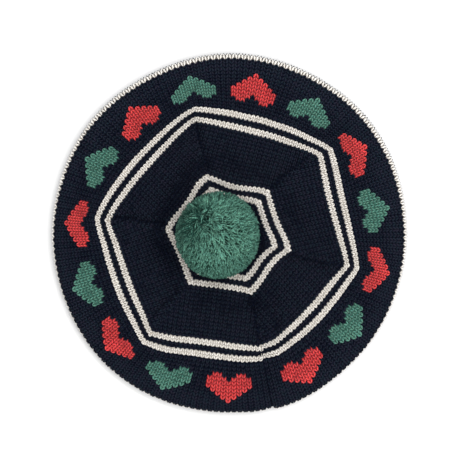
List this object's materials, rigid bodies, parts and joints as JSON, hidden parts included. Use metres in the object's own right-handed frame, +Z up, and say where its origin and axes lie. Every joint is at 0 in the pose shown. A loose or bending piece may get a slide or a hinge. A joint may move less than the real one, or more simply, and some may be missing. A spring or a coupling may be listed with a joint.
{
  "type": "knit beret",
  "caption": "Child's knit beret with a wedged crown, striped rings, a cream stripe at the rolled rim, a ribbed headband and a yarn pompom, open below for the head.",
  "frame": {"origin": "on the resting surface, under the middle of the crown and of the ribbed headband", "axes": "+Z up through the pompom, +X to the picture's right, +Y to the picture's top"},
  "size_m": [0.2503, 0.2533, 0.0891],
  "materials": {
    "navy_knit": "matte stocking stitch in navy wool yarn",
    "cream_knit": "matte stocking stitch in cream wool yarn",
    "red_knit": "matte stocking stitch in red wool yarn",
    "green_knit": "matte stocking stitch in green wool yarn",
    "navy_rib": "matte two by two rib in navy wool yarn",
    "pompom_yarn": "matte cut pile of green wool yarn"
  },
  "bodies": {
    "root": {"crown": "navy_knit", "rim_stripe": "cream_knit", "underside": "navy_knit", "headband": "navy_rib", "pompom": "pompom_yarn"}
  },
  "joints": []
}
